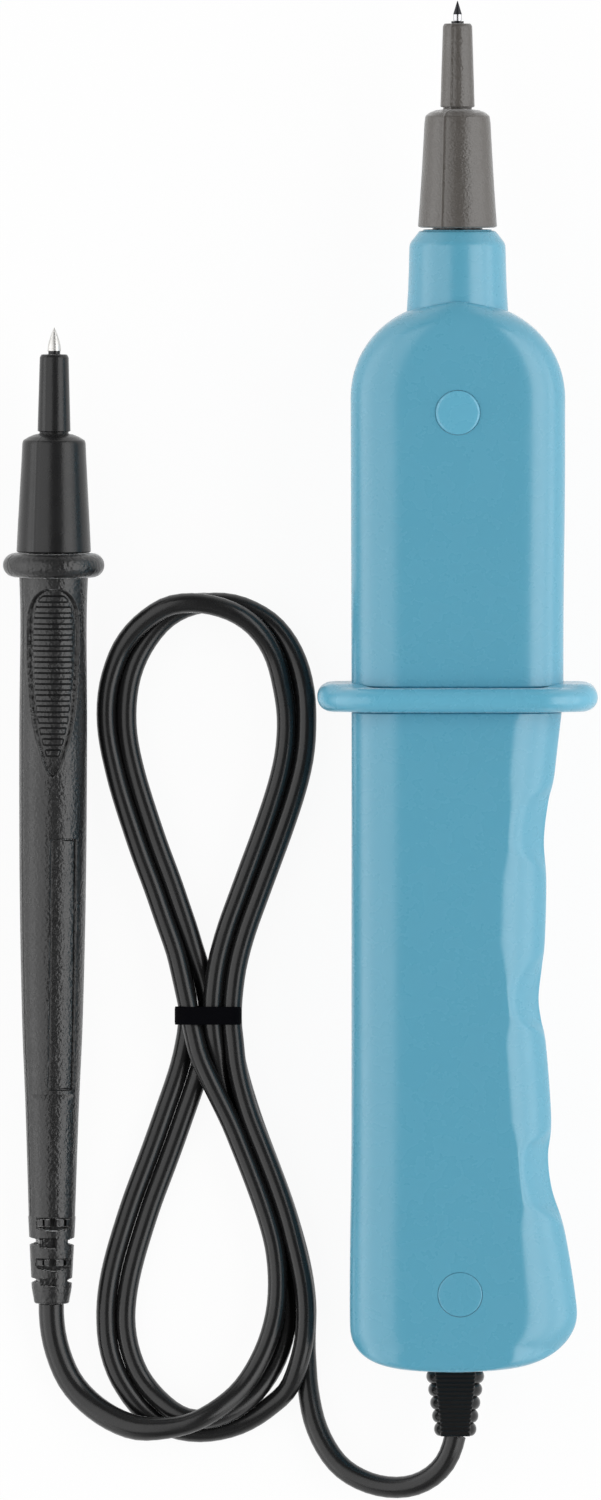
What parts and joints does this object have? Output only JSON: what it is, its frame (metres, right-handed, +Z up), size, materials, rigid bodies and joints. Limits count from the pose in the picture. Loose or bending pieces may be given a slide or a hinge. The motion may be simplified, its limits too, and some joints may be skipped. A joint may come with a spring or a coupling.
{
  "type": "two-pole voltage tester",
  "caption": "Hand-held two-pole voltage tester: flat grooved housing with a hand guard and capped test tip, a round second probe and a tied lead between them.",
  "frame": {"origin": "middle of the box round the two units as they lie, on the surface they rest on", "axes": "+Y along both units towards their test tips; +Z up, the housing's back face upward; +X to the right, from the second probe to the main unit"},
  "size_m": [0.1189, 0.2993, 0.035],
  "materials": {
    "housing_blue": "light blue moulded plastic, fine satin grain",
    "cover_grey": "grey-brown soft plastic, satin",
    "test_steel": "satin",
    "probe_nickel": "bright nickel plate",
    "black_plastic": "satin",
    "probe_plastic": "fine moulded grain",
    "black_rubber": "smooth, soft sheen",
    "tie_plastic": "satin",
    "contact_brass": "bare",
    "board_green": "laminate",
    "resistor_tan": "glazed",
    "lamp_white": "diffuse",
    "window_clear": "clear, slightly tinted",
    "cell_jacket": "plain sleeve"
  },
  "bodies": {
    "tester": {"housing_back": "housing_blue", "housing_front": "housing_blue", "hand_guard": "housing_blue", "upper_screw_plug": "housing_blue", "lower_screw_plug": "housing_blue", "housing_screws": "test_steel", "test_tip": "test_steel", "tip_insulation": "black_plastic", "tip_holder": "black_plastic", "tip_contact": "contact_brass", "circuit_board": "board_green", "controller_chip": "black_plastic", "series_resistors": "resistor_tan", "display_lamps": "lamp_white", "lamp_window": "window_clear", "buzzer": "black_plastic", "battery_tray": "black_plastic", "cell_left": "cell_jacket", "cell_right": "cell_jacket", "cell_springs": "test_steel", "cell_contacts": "test_steel", "bridge_contact": "test_steel", "inner_lead": "black_rubber", "strain_relief": "black_rubber", "probe_upper_shell": "probe_plastic", "probe_lower_shell": "probe_plastic", "probe_test_tip": "probe_nickel", "probe_tip_insulation": "black_plastic", "probe_tip_holder": "black_plastic", "probe_resistor": "resistor_tan", "probe_inner_lead": "black_rubber", "probe_strain_relief": "probe_plastic", "probe_lead": "black_rubber", "cord_hank": "black_rubber", "handle_lead": "black_rubber", "cord_tie": "tie_plastic"},
    "tip_cover": {"tip_cover": "cover_grey"},
    "probe_tip_cover": {"probe_tip_cover": "black_plastic"}
  },
  "joints": [
    {"name": "tip_cover_slide", "type": "slide", "parent": "tester", "child": "tip_cover", "axis": [0, 0.9994, 0.0344], "range_m": [0, 0.047]},
    {"name": "probe_tip_cover_slide", "type": "slide", "parent": "tester", "child": "probe_tip_cover", "axis": [0.0031, 0.9991, 0.0421], "range_m": [0, 0.0465]}
  ]
}
